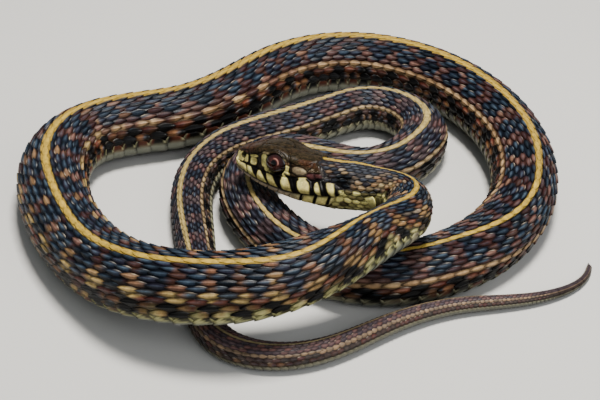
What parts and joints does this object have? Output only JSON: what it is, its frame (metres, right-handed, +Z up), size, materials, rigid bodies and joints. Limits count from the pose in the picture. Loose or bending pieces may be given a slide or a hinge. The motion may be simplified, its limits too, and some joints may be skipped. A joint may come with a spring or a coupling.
{
  "type": "garter snake",
  "caption": "Garter snake lying in a loose double coil, head raised over the coils, still museum-type model at life size.",
  "frame": {"origin": "on the floor, under the middle of the box round the whole coiled snake", "axes": "+Z up, +X to the right as the picture shows the coil, along its longest side and towards the tip of the tail, +Y away from the camera"},
  "size_m": [0.1391, 0.1331, 0.0269],
  "materials": {
    "body_scales": "satin",
    "head_plates": "satin",
    "eye_glass": "gloss"
  },
  "bodies": {
    "root": {"head": "head_plates", "eye_left": "eye_glass", "eye_right": "eye_glass", "neck_01": "body_scales", "neck_02": "body_scales", "body_01": "body_scales", "body_02": "body_scales", "body_03": "body_scales", "body_04": "body_scales", "body_05": "body_scales", "body_06": "body_scales", "body_07": "body_scales", "body_08": "body_scales", "body_09": "body_scales", "body_10": "body_scales", "body_11": "body_scales", "body_12": "body_scales", "body_13": "body_scales", "body_14": "body_scales", "body_15": "body_scales", "body_16": "body_scales", "body_17": "body_scales", "body_18": "body_scales", "body_19": "body_scales", "body_20": "body_scales", "body_21": "body_scales", "tail_01": "body_scales", "tail_02": "body_scales", "tail_03": "body_scales", "tail_04": "body_scales"}
  },
  "joints": []
}
